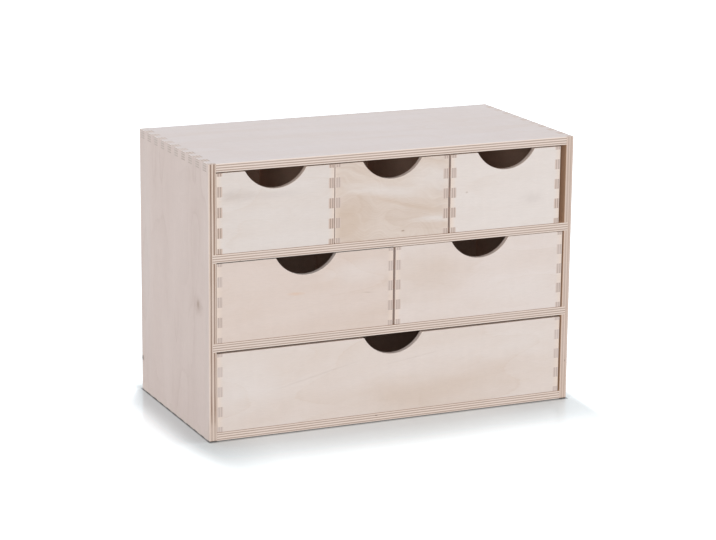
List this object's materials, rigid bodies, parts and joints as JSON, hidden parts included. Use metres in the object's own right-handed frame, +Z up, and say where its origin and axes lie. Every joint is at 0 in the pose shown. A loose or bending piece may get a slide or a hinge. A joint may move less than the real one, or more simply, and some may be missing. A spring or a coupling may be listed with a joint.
{
  "type": "desktop drawer unit",
  "caption": "Desktop drawer unit of pale plywood: a finger-jointed case whose rows of box-jointed drawers slide out by round finger notches.",
  "frame": {"origin": "on the surface the unit stands on, under the middle of the case", "axes": "+X along the width, to the right as seen from the front; +Y from front to back, so the drawers open towards -Y; +Z up"},
  "size_m": [0.42, 0.21, 0.294],
  "materials": {
    "birch_case": "bare sanded birch plywood, matt, whitish",
    "birch_back": "bare thin birch plywood, matt, slightly browner",
    "birch_drawer": "bare sanded birch plywood, matt, pale",
    "birch_tan": "bare sanded birch plywood, matt, tan"
  },
  "bodies": {
    "case": {"left_side": "birch_case", "right_side": "birch_case", "top_panel": "birch_case", "bottom_panel": "birch_case", "upper_shelf": "birch_case", "lower_shelf": "birch_case", "back_panel": "birch_back"},
    "small_left_drawer": {"small_left_front": "birch_drawer", "small_left_rear": "birch_drawer", "small_left_wall_left": "birch_drawer", "small_left_wall_right": "birch_drawer", "small_left_bottom": "birch_drawer"},
    "small_middle_drawer": {"small_middle_front": "birch_tan", "small_middle_rear": "birch_drawer", "small_middle_wall_left": "birch_drawer", "small_middle_wall_right": "birch_drawer", "small_middle_bottom": "birch_drawer"},
    "small_right_drawer": {"small_right_front": "birch_drawer", "small_right_rear": "birch_drawer", "small_right_wall_left": "birch_drawer", "small_right_wall_right": "birch_drawer", "small_right_bottom": "birch_drawer"},
    "medium_left_drawer": {"medium_left_front": "birch_drawer", "medium_left_rear": "birch_drawer", "medium_left_wall_left": "birch_drawer", "medium_left_wall_right": "birch_drawer", "medium_left_bottom": "birch_drawer"},
    "medium_right_drawer": {"medium_right_front": "birch_drawer", "medium_right_rear": "birch_drawer", "medium_right_wall_left": "birch_drawer", "medium_right_wall_right": "birch_drawer", "medium_right_bottom": "birch_drawer"},
    "large_drawer": {"large_front": "birch_drawer", "large_rear": "birch_drawer", "large_wall_left": "birch_drawer", "large_wall_right": "birch_drawer", "large_bottom": "birch_drawer"}
  },
  "joints": [
    {"name": "small_left_drawer_slide", "type": "slide", "parent": "case", "child": "small_left_drawer", "axis": [0, -1, 0], "range_m": [0, 0.17]},
    {"name": "small_middle_drawer_slide", "type": "slide", "parent": "case", "child": "small_middle_drawer", "axis": [0, -1, 0], "range_m": [0, 0.17]},
    {"name": "small_right_drawer_slide", "type": "slide", "parent": "case", "child": "small_right_drawer", "axis": [0, -1, 0], "range_m": [0, 0.17]},
    {"name": "medium_left_drawer_slide", "type": "slide", "parent": "case", "child": "medium_left_drawer", "axis": [0, -1, 0], "range_m": [0, 0.17]},
    {"name": "medium_right_drawer_slide", "type": "slide", "parent": "case", "child": "medium_right_drawer", "axis": [0, -1, 0], "range_m": [0, 0.17]},
    {"name": "large_drawer_slide", "type": "slide", "parent": "case", "child": "large_drawer", "axis": [0, -1, 0], "range_m": [0, 0.17]}
  ]
}
